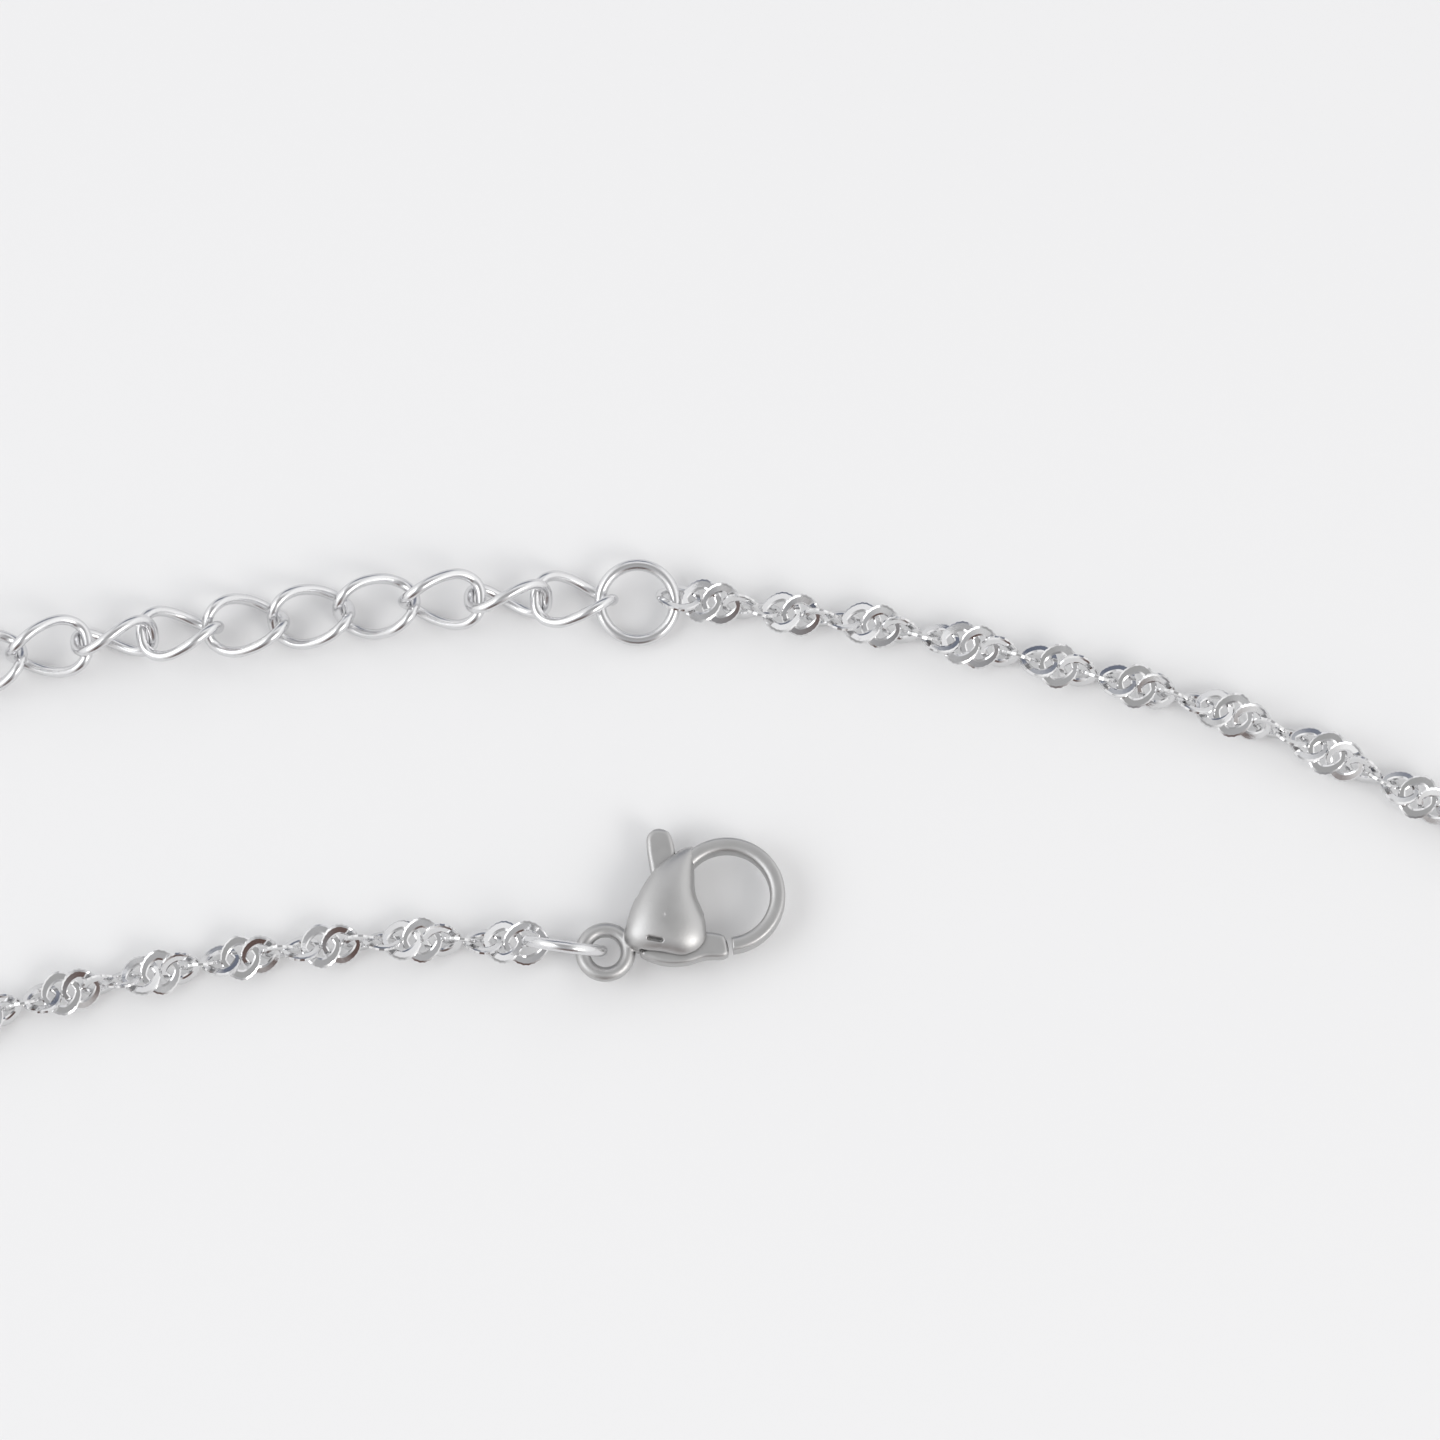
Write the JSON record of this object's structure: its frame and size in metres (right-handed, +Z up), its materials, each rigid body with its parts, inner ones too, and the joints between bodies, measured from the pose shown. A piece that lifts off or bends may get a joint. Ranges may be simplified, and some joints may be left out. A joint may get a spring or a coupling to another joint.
{
  "type": "twisted chain necklace",
  "caption": "Open necklace of fine twisted metal chain with a lobster clasp, jump rings and a twisted curb extender, lying flat.",
  "frame": {"origin": "centre of the bounding box, on the surface that the necklace lies on", "axes": "+Z up from the surface, +X to the right across the loop's widest extent, +Y from the front of the neck towards the clasp"},
  "size_m": [0.147, 0.1208, 0.0039],
  "materials": {
    "polished_chain": "bright polished steel with diamond-cut facets",
    "polished_wire": "bright polished steel wire",
    "satin_clasp": "cast steel, satin polished"
  },
  "bodies": {
    "necklace": {"twisted_chain": "polished_chain", "extender_ring": "polished_wire", "clasp_ring": "polished_wire", "extender_link_01": "polished_wire", "extender_link_02": "polished_wire", "extender_link_03": "polished_wire", "extender_link_04": "polished_wire", "extender_link_05": "polished_wire", "extender_link_06": "polished_wire", "extender_link_07": "polished_wire", "extender_link_08": "polished_wire", "extender_link_09": "polished_wire", "extender_link_10": "polished_wire", "extender_link_11": "polished_wire", "extender_link_12": "polished_wire", "extender_link_13": "polished_wire", "extender_link_14": "polished_wire", "extender_link_15": "polished_wire", "extender_link_16": "polished_wire", "clasp_body": "satin_clasp", "clasp_pin": "satin_clasp"},
    "lever": {"clasp_lever": "satin_clasp"}
  },
  "joints": [
    {"name": "lever_hinge", "type": "hinge", "parent": "necklace", "child": "lever", "pos_m": [-0.00227, 0.04297, 0.0013], "axis": [0, 0, 1], "range_deg": [0, 25], "stiffness_Nm_per_rad": 0.005, "springref_deg": -20.05}
  ]
}
